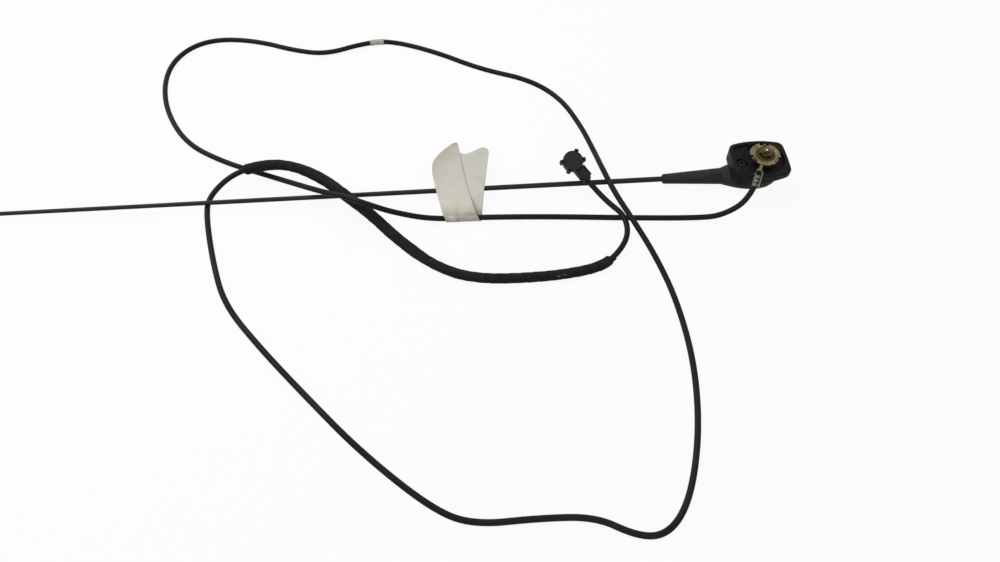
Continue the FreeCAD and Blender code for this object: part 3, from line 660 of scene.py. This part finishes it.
class ANTENNA_OT_tape(bpy.types.Operator):
    """Winds the cloth tape over part of the lead, each turn lapping the one before"""
    bl_idname = "antenna.tape"
    bl_label = "Wind the cloth tape"

    def execute(self, context):
        rows, flats = self.winding(context.scene.antenna_sizes, context.scene.antenna_stage.sides)
        points, faces = closed_strip(rows)
        tape = new_piece("cloth_tape", points, faces, flats)
        tape.data.materials.append(self.cloth(context.scene.antenna_colours))
        settle(tape, "cloth_tape", "cloth_tape_wrap")
        return {"FINISHED"}

    @staticmethod
    def winding(sizes, sides):
        """Rows of points round the tape's section along the winding, and their places on the flat tape."""
        line = LeadLine()
        pitch, layer_height, run = sizes.tape_pitch, sizes.tape_thickness, sizes.tape_run
        width = pitch * tape_lap
        inner = sizes.lead_diameter / 2 + tape_room
        turns = (run - width) / pitch + 2
        steps = int(turns * sides)
        rows, flats = [], []
        for n in range(steps + 1):
            turn = turns * n / steps
            angle = 2 * math.pi * (turn - turns) + tape_last_angle
            round_x, round_y = math.cos(angle), math.sin(angle)
            onward = pitch * min(max(turn - 1, 0.0), turns - 2)
            loose = max(0.0, 1 - (turns - turn) / tape_loose_turn)
            under = max(0.0, 1 - turn) - max(0.0, turn - turns + 1)
            wander = tape_wander * ripple((turn * tape_wander_rate, 0, 0), seed=3.1)
            row = []
            for layer, share in section(tape_columns):
                frayed = ripple((turn * tape_fray_rate, share, 0), seed=7.7) * (share in (0, 1))
                edge = wander + tape_fray * frayed
                where = min(max(onward + width * share + edge, 0.0), run)
                blunt = min(1.0, min(where, run - where) / sizes.tape_end) ** 0.5
                open_end = max(blunt, loose)
                padding = height_at(tape_padding, where) * 0.001 * open_end
                radius = inner + padding + (sizes.tape_radius - layer_height * under - inner) * open_end
                radius += layer_height * max(0.0, 1 - share * width / pitch)
                radius += layer_height * (layer + 2 * loose)
                place = sizes.tape_start + where + tape_loose_slip * loose * share
                lumps = ripple((place * tape_lump_rate, round_x, round_y), seed=1.3)
                lumps += 0.5 * ripple((place * tape_fine_rate, round_x * 2, round_y * 2), seed=5.9)
                sunk = sizes.tape_radius + padding + 2 * layer_height - line.at(place)[0].z
                lifted = Vector((0, 0, max(0.0, sunk)))
                row.append(line.out(place, angle, radius + tape_lump * lumps * layer) + lifted)
                flats.append((turn * 2 * math.pi * sizes.tape_radius, share * width))
            rows.append(row)
        return rows, flats

    @staticmethod
    def cloth(colours):
        """Woven tape in two dark shades, dusty, with two pale painted highlights."""
        material, tree, surface = new_finish("Cloth tape")
        weave = effect(tree, "Tape weave", {"Threads along": 9000.0, "Threads across": 9000.0})
        base = effect(tree, "Mottle", {
            "Main": solid(colours.tape), "Second": solid(shade(23, 24, 21)),
            "Scale": 26.0, "Amount": 0.9})["Color"]
        raised = times(tree, weave["Mask"], 0.4)
        base = mixed(tree, raised, base, solid(toned(colours.tape, 1.5)))
        base = effect(tree, "Settled dust", {
            "Color": base, "Dust": solid(colours.dust), "Scale": 160.0, "Amount": 0.06})["Color"]
        # Painted highlights: two pale spots stand in for gloss on the winding.
        for middle in tape_highlight_spots:
            base = mixed(tree, spot(tree, middle, tape_highlight_reach), base, solid(shade(84, 84, 82)))
        put(tree, surface, {
            "Base Color": base, "Roughness": 0.9, "Specular IOR Level": 0.15,
            "Normal": bumped(tree, weave["Height"], 0.00012)})
        return material


class ANTENNA_OT_band(bpy.types.Operator):
    """Rolls the pale marker band round the lead"""
    bl_idname = "antenna.band"
    bl_label = "Roll the marker band"

    def execute(self, context):
        colours = context.scene.antenna_colours
        rows = self.roll(context.scene.antenna_sizes, context.scene.antenna_stage.sides)
        points, faces = closed_strip(rows)
        band = new_piece("lead_band", points, faces)
        band.data.materials.append(moulded(
            "Marker tape", colours.band, cloud=220.0, roughness=0.55, grain=700.0, depth=0.00003, dust=0.25))
        settle(band, "marker_tape", "marker_band")
        return {"FINISHED"}

    @staticmethod
    def roll(sizes, sides):
        """Rows of points round the band's section, from its inner end to its lap."""
        line = LeadLine()
        steps = int(band_turns * sides * band_fineness)
        rows = []
        for n in range(steps + 1):
            turn = band_turns * n / steps
            angle = 2 * math.pi * turn + band_first_angle
            row = []
            for layer, share in section(band_columns):
                place = sizes.band_start + sizes.band_run * share + band_slant * (turn - band_level_turn)
                lift = sizes.band_thickness * (band_lap_rise * max(0.0, turn - band_lap_start) + layer)
                uneven = band_uneven * ripple((place * band_uneven_rate, angle, turn), seed=2.2)
                radius = sizes.lead_diameter / 2 + band_room + lift + uneven
                row.append(line.out(place, angle, radius))
            rows.append(row)
        return rows


class ANTENNA_OT_tag(bpy.types.Operator):
    """Folds the paper tag round the lead and lays its two flaps over the mast"""
    bl_idname = "antenna.tag"
    bl_label = "Fold the paper tag"

    def execute(self, context):
        sizes = context.scene.antenna_sizes
        line = LeadLine()
        shares = [k / tag_columns for k in range(tag_columns + 1)]
        rows = [[self.front_point(side, n / tag_front_rows, sizes) for side in shares]
                for n in range(tag_front_rows)]
        rows += [[self.fold_point(line, side, n / tag_fold_rows) for side in shares]
                 for n in range(tag_fold_rows + 1)]
        rows += [[self.back_point(line, side, n / tag_back_rows) for side in shares]
                 for n in range(1, tag_back_rows + 1)]
        points, faces = open_sheet(rows)
        tag = new_piece("folded_tag", [Vector(point) * 0.001 for point in points], faces)
        tag.data.materials.append(self.paper(context.scene.antenna_colours))
        thickness = tag.modifiers.new("Paper", "SOLIDIFY")
        thickness.thickness = sizes.tag_thickness
        thickness.offset = 0
        settle(tag, "paper", "paper_tag")
        return {"FINISHED"}

    @staticmethod
    def front_point(side, share, sizes):
        """Point of the front flap in millimetres, across it and from its tip to the lead."""
        x, y = through(front_left, share).lerp(through(front_right, share), side)
        free = max(0.0, (y - tag_free_from) / tag_free_run)
        z = height_at(front_rise, y) + sizes.tag_curl * 1000 * free * free * (1 - side) ** 1.5
        z += (tag_wave + tag_free_wave * free) * ripple((x * 0.06, y * 0.05, 0), seed=4.4)
        off_crease = y - tag_crease_y + (x - tag_crease_x) * tag_crease_slope
        crease = math.exp(-(off_crease / tag_crease_width) ** 2)
        near_lead = min(max((tag_handled_from - y) / tag_handled_run, 0.0), 1.0)
        crumple = ripple((x * 0.13, y * 0.22, 0), seed=8.1) + 0.4 * ripple((x * 0.37, y * 0.43, 0), seed=2.6)
        return x, y, z + tag_crease_height * crease + (tag_crumple + tag_handled_crumple * near_lead) * crumple

    @staticmethod
    def fold_point(line, side, turn):
        """Point of the fold round the lead in millimetres, from above it, round its front, to below it."""
        here, way = line.at(tag_fold_start - tag_fold_width * side - tag_fold_lean * turn)[:2]
        across = Vector((way.y, -way.x, 0)).normalized()
        angle = math.pi * turn
        bulge = (tag_fold_bulge - tag_fold_bulge_loss * side) * math.sin(angle)
        slack = (tag_fold_radius + bulge) * 0.001
        above = Vector((0, 0, slack * math.cos(angle)))
        return (here + above - across * slack * math.sin(angle)) * 1000

    def back_point(self, line, side, share):
        """Point of the back flap in millimetres, across it and from the lead to its end."""
        start = self.fold_point(line, side, 1.0)
        x, y = start.xy.lerp(through(back_end, side), share)
        wave = tag_back_wave * share * ripple((x * 0.08, y * 0.06, 0), seed=9.3)
        return x, y, height_at(back_rise, y) + wave

    @staticmethod
    def paper(colours):
        """Aged paper with painted light, lighter and warmer, towards the lead, painted shade with smudges at
        the fold, and painted shade, darker and browner, at the far corner.
        """
        material, tree, surface = new_finish("Aged paper")
        base = effect(tree, "Mottle", {
            "Main": solid(colours.paper), "Second": solid(toned(colours.paper, 0.88)),
            "Scale": 55.0, "Amount": 0.6})["Color"]
        fibres = effect(tree, "Drawn lines", {
            "Stretch": (1.0, 0.25, 1.0), "Scale": 900.0, "Thin": 0.5})["Mask"]
        base = mixed(tree, times(tree, fibres, 0.15), base, solid(toned(colours.paper, 0.7)))
        from_lead = distance_along(tree, (0, 1, 0))
        # Painted light: the paper is made lighter and warmer towards the lead.
        base = mixed(tree, between(tree, from_lead, 0.01, -0.018), base, solid(shade(212, 207, 194)))
        # Painted shade with smudges: darker blotches where the paper bends down over the lead.
        smudges = between(tree, speckle(tree, 150.0), 0.25, 0.75)
        near_lead = times(tree, between(tree, from_lead, -0.0225, -0.029), smudges)
        base = mixed(tree, near_lead, base, solid(shade(140, 137, 126)))
        # Painted shade: darker and browner towards the far corner, where the flap curls up.
        to_corner = distance_along(tree, (-0.787, 0.618, 0))
        painted_corner_shade = times(tree, between(tree, to_corner, 0.236, 0.253), 0.7)
        base = mixed(tree, painted_corner_shade, base, solid(shade(184, 173, 158)))
        base = effect(tree, "Settled dust", {
            "Color": base, "Dust": solid(toned(colours.dust, 0.8)), "Scale": 90.0, "Amount": 0.12})["Color"]
        height = effect(tree, "Fine grain", {"Scale": 1100.0})["Height"]
        put(tree, surface, {
            "Base Color": base, "Roughness": 0.82, "Specular IOR Level": 0.2,
            "Normal": bumped(tree, height, 0.00003)})
        return material


class ANTENNA_OT_mast(bpy.types.Operator):
    """Finishes the whip, its boot and the parts that hold it"""
    bl_idname = "antenna.mast"
    bl_label = "Finish the mast"

    def execute(self, context):
        colours = context.scene.antenna_colours
        dress(["mast_rod"], moulded(
            "Mast coating", colours.mast, cloud=30.0, roughness=0.4, grain=600.0, depth=0.00002, dust=0.06))
        dress(["mast_boot"], moulded(
            "Boot rubber", colours.boot, cloud=60.0, roughness=0.62, grain=800.0, depth=0.00004, dust=0.1))
        dress(["mast_ferrule"], plated(
            "Ferrule zinc", shade(150, 146, 138), stain=shade(96, 92, 84),
            cloud=200.0, roughness=0.4, stretch=(1, 8, 8)))
        dress(["neck_insert", "contact_strap"], plated(
            "Contact brass", shade(190, 158, 92), stain=shade(120, 92, 50),
            cloud=240.0, roughness=0.38, stretch=(1, 9, 9)))
        return {"FINISHED"}


class ANTENNA_OT_foot(bpy.types.Operator):
    """Finishes the housing, the pad and its screw"""
    bl_idname = "antenna.foot"
    bl_label = "Finish the foot"

    def execute(self, context):
        colours = context.scene.antenna_colours
        dress(["housing"], moulded(
            "Housing plastic", colours.housing, cloud=70.0, roughness=0.58, grain=950.0, depth=0.00004,
            dust=0.1, edge=shade(66, 60, 55)))
        dress(["base_pad"], moulded(
            "Pad rubber", colours.pad, cloud=90.0, roughness=0.6, grain=800.0, depth=0.00003,
            dust=0.02, edge=shade(30, 30, 30), gloss=0.1))
        dress(["housing_screw"], plated(
            "Screw steel", shade(40, 38, 36), stain=shade(22, 21, 20),
            cloud=400.0, roughness=0.5, stretch=(6, 1, 1)))
        return {"FINISHED"}


class ANTENNA_OT_fixing(bpy.types.Operator):
    """Finishes the roof fixing: ring, washer, nut, stud, spigot and cable terminal"""
    bl_idname = "antenna.fixing"
    bl_label = "Finish the roof fixing"

    def execute(self, context):
        colours = context.scene.antenna_colours
        dress(["claw_ring"], plated(
            "Ring plating", colours.ring, stain=shade(66, 55, 24),
            cloud=360.0, roughness=0.36, stretch=(1, 7, 7), dull=0.95, rub=0.3))
        dress(["insulating_washer"], moulded(
            "Washer fibre", colours.washer, cloud=300.0, roughness=0.66, grain=1500.0, depth=0.00003,
            dust=0.1))
        dress(["stud_nut"], plated(
            "Nut plating", shade(80, 68, 40), stain=shade(52, 44, 24),
            cloud=320.0, roughness=0.5, stretch=(1, 1, 8), rub=0.4))
        dress(["centre_stud"], self.worn_stud())
        dress(["spigot"], plated(
            "Spigot zinc", shade(150, 147, 140), stain=shade(92, 88, 80),
            cloud=220.0, roughness=0.42, stretch=(1, 1, 9)))
        dress(["cable_terminal"], self.terminal_with_painted_shade(colours.terminal))
        dress(["insulating_bush", "plug_insulator"], moulded(
            "Natural plastic", shade(196, 190, 176), cloud=200.0, roughness=0.5, grain=900.0, depth=0.00002,
            dust=0.1))
        dress(["cable_core"], plated(
            "Core wire", shade(96, 86, 60), stain=shade(56, 48, 32),
            cloud=500.0, roughness=0.4, stretch=(9, 2, 2)))
        return {"FINISHED"}

    @staticmethod
    def worn_stud():
        """Dull stud, rubbed bright at the middle of its end."""
        material = plated(
            "Stud steel", shade(80, 66, 30), stain=shade(46, 37, 16),
            cloud=300.0, roughness=0.4, stretch=(1, 1, 14))
        tree = material.node_tree
        flat = vectors(tree, "MULTIPLY", place_on(tree), (1, 1, 0))[0]
        off_axis = vectors(tree, "LENGTH", flat)["Value"]
        marked(material, between(tree, off_axis, 0.0012, 0.0007), shade(238, 226, 186))
        return material

    @staticmethod
    def terminal_with_painted_shade(colour):
        """Tinned terminal, with painted shade ahead of its wraps and along one side of them."""
        material = plated(
            "Terminal tin", colour, stain=shade(36, 34, 27),
            cloud=380.0, roughness=0.34, stretch=(2, 8, 2), dull=1.0)
        tree = material.node_tree
        # Painted shade: a dark band along one side of the wraps, in the channel between its rails.
        across = distance_along(tree, (0.894, -0.447, 0))
        flank = times(
            tree, between(tree, across, 0.0004, 0.0011), between(tree, across, 0.0029, 0.0024))
        marked(material, times(tree, flank, 0.75), shade(34, 31, 24))
        # Painted shade in the recess of the channel ahead of the wraps.
        throat = spot(tree, middle=(-0.0118, -0.0193, 0.0345), reach=(0.005, 0.0044, 0.008))
        marked(material, throat, shade(38, 32, 24))
        return material


class ANTENNA_OT_plug(bpy.types.Operator):
    """Finishes the aerial plug"""
    bl_idname = "antenna.plug"
    bl_label = "Finish the plug"

    def execute(self, context):
        colour = context.scene.antenna_colours.plug
        dress(["plug_cap"], moulded(
            "Plug cap", colour, cloud=150.0, roughness=0.52, grain=1100.0, depth=0.00003,
            dust=0.1, edge=shade(56, 55, 54)))
        dress(["plug_body"], moulded(
            "Plug moulding", toned(colour, 0.9), cloud=150.0, roughness=0.5, grain=1100.0, depth=0.00003,
            dust=0.1))
        dress(["plug_clamp"], moulded(
            "Clamp paint", toned(colour, 0.7), cloud=200.0, roughness=0.55, grain=1300.0, depth=0.00002,
            dust=0.04))
        dress(["plug_sleeve", "plug_pin"], plated(
            "Plug nickel", shade(196, 190, 178), stain=shade(140, 134, 120),
            cloud=260.0, roughness=0.28, stretch=(1, 1, 9)))
        return {"FINISHED"}


class ANTENNA_OT_cord(bpy.types.Operator):
    bl_idname = "antenna.cord"
    bl_label = "Declare the lead"

    def execute(self, context):
        carried = [bpy.data.objects[name] for name in ("cloth_tape", "lead_band", "folded_tag")]
        carried += [nodes[name] for name in sorted(nodes) if name.startswith("plug_")]
        return {"FINISHED"}


class ANTENNA_OT_stage(bpy.types.Operator):
    """Sets the floor, the light and the camera"""
    bl_idname = "antenna.stage"
    bl_label = "Set the stage"

    def execute(self, context):
        scene = context.scene
        stage = scene.antenna_stage
        scene.view_settings.view_transform = "Standard"
        self.floor(scene.antenna_colours.floor, stage)
        self.sky(scene, stage)
        self.lamp("key_lamp", stage.key_place, stage.key_size, stage.key, stage.aim)
        self.lamp("fill_lamp", stage.fill_place, stage.fill_size, stage.fill, stage.aim)
        self.camera(scene, stage)
        return {"FINISHED"}

    @staticmethod
    def seen_ray(tree):
        """1 for rays from the camera and for those seen in gloss or glass."""
        path = add(tree, "LightPath").outputs
        seen = maths(tree, "MAXIMUM", path["Is Camera Ray"], path["Is Glossy Ray"])
        return maths(tree, "MAXIMUM", seen, path["Is Transmission Ray"])

    def floor(self, colour, stage):
        """Wide pale floor that is seen nearly white and keeps the part's shadow."""
        mesh = bpy.data.meshes.new("studio_floor")
        half, z = stage.floor_half, -stage.floor_drop
        corners = [(-half, -half, z), (half, -half, z), (half, half, z), (-half, half, z)]
        mesh.from_pydata(corners, [], [(0, 1, 2, 3)])
        floor = bpy.data.objects.new("studio_floor", mesh)
        bpy.context.scene.collection.objects.link(floor)
        material, tree, surface = new_finish("Pale floor")
        tint = times(tree, speckle(tree, 3.0), 0.04)
        pale = mixed(tree, tint, solid(colour), solid(toned(colour, 0.9)))
        put(tree, surface, {"Base Color": pale, "Roughness": 0.9, "Specular IOR Level": 0.1})
        glow = add(tree, "Emission", {"Color": (1, 1, 1, 1), "Strength": 1.0})
        share = times(tree, self.seen_ray(tree), stage.floor_glow)
        both = add(tree, "MixShader", {0: share, 1: surface.outputs[0], 2: glow.outputs[0]})
        put(tree, tree.nodes["Material Output"], {"Surface": both.outputs[0]})
        mesh.materials.append(material)

    def sky(self, scene, stage):
        """Sky that is seen white and gives an even light."""
        world = bpy.data.worlds.new("studio_sky")
        world.use_nodes = True
        tree = world.node_tree
        strength = maths(tree, "MULTIPLY_ADD", self.seen_ray(tree), 1 - stage.sky, stage.sky)
        put(tree, tree.nodes["Background"], {"Color": (1, 1, 1, 1), "Strength": strength})
        scene.world = world

    @staticmethod
    def lamp(name, place, size, power, aim):
        """Round soft lamp pointed at a place."""
        light = bpy.data.lights.new(name, "AREA")
        light.shape = "DISK"
        light.size = size
        light.energy = power
        lamp = bpy.data.objects.new(name, light)
        lamp.location = place
        lamp.rotation_euler = (Vector(aim) - Vector(place)).to_track_quat("-Z", "Y").to_euler()
        bpy.context.scene.collection.objects.link(lamp)

    @staticmethod
    def camera(scene, stage):
        """Camera where the photograph was taken from."""
        lens = bpy.data.cameras.new("photo_camera")
        lens.lens = stage.lens
        lens.sensor_width = 36.0
        lens.clip_start = 0.01
        camera = bpy.data.objects.new("photo_camera", lens)
        camera.location = stage.eye
        camera.rotation_euler = (stage.tilt, 0, stage.turn)
        scene.collection.objects.link(camera)
        scene.camera = camera


# Panel, registration and the run


class ANTENNA_PT_panel(bpy.types.Panel):
    """Lists the antenna's pieces and settings in the sidebar"""
    bl_label = "Car radio antenna"
    bl_space_type = "VIEW_3D"
    bl_region_type = "UI"
    bl_category = "Antenna"

    def draw(self, context):
        layout = self.layout
        for operator in piece_operators:
            layout.operator(operator.bl_idname)
        for setting in setting_groups:
            group = getattr(context.scene, setting)
            box = layout.box()
            for name in group.bl_rna.properties.keys():
                if name not in ("rna_type", "name"):
                    box.prop(group, name)


piece_operators = (
    ANTENNA_OT_lead, ANTENNA_OT_tape, ANTENNA_OT_band, ANTENNA_OT_tag, ANTENNA_OT_mast, ANTENNA_OT_foot,
    ANTENNA_OT_fixing, ANTENNA_OT_plug, ANTENNA_OT_cord, ANTENNA_OT_stage,
)
setting_groups = {
    "antenna_sizes": AntennaSizes, "antenna_colours": AntennaColours, "antenna_stage": AntennaStage,
}


def register():
    for kind in (*setting_groups.values(), *piece_operators, ANTENNA_PT_panel):
        bpy.utils.register_class(kind)
    for name, kind in setting_groups.items():
        setattr(bpy.types.Scene, name, PointerProperty(type=kind))


def unregister():
    for name in setting_groups:
        delattr(bpy.types.Scene, name)
    for kind in (ANTENNA_PT_panel, *piece_operators, *setting_groups.values()):
        bpy.utils.unregister_class(kind)


def main():
    """Registers the add-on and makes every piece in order."""
    register()
    for operator in piece_operators:
        family, action = operator.bl_idname.split(".")
        getattr(getattr(bpy.ops, family), action)()


if __name__ == "__main__":
    main()
